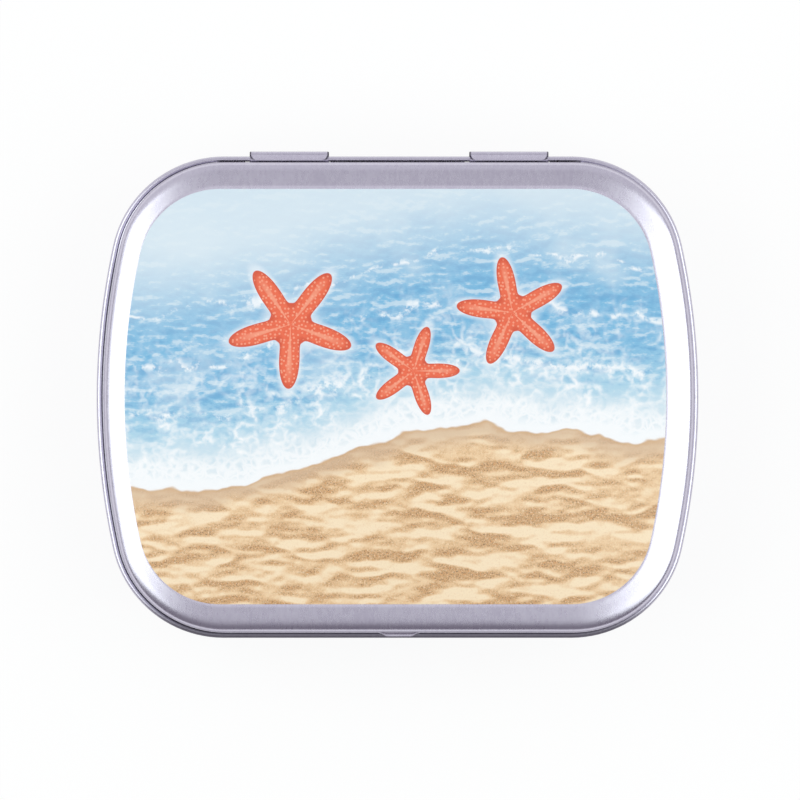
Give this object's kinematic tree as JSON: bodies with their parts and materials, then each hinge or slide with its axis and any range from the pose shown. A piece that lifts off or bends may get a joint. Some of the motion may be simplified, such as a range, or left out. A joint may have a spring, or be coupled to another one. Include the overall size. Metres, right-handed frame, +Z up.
{
  "type": "hinged mint tin",
  "caption": "Small flat hinged tin with rounded corners and bowed sides; the printed lid turns on the tray's own rolled bead.",
  "frame": {"origin": "bottom centre of the closed tin, on the plane that it stands on", "axes": "+X to the right along the tin's length, +Y to the hinge at the rear, +Z up through the lid"},
  "size_m": [0.06, 0.0485, 0.0161],
  "materials": {
    "tinplate": "satin",
    "label_print": "satin"
  },
  "bodies": {
    "base": {"base_tray": "tinplate"},
    "lid": {"lid": "tinplate", "lid_label": "label_print"}
  },
  "joints": [
    {"name": "lid_hinge", "type": "hinge", "parent": "base", "child": "lid", "pos_m": [0, 0.02368, 0.01036], "axis": [-1, 0, 0], "range_deg": [0, 105]}
  ]
}
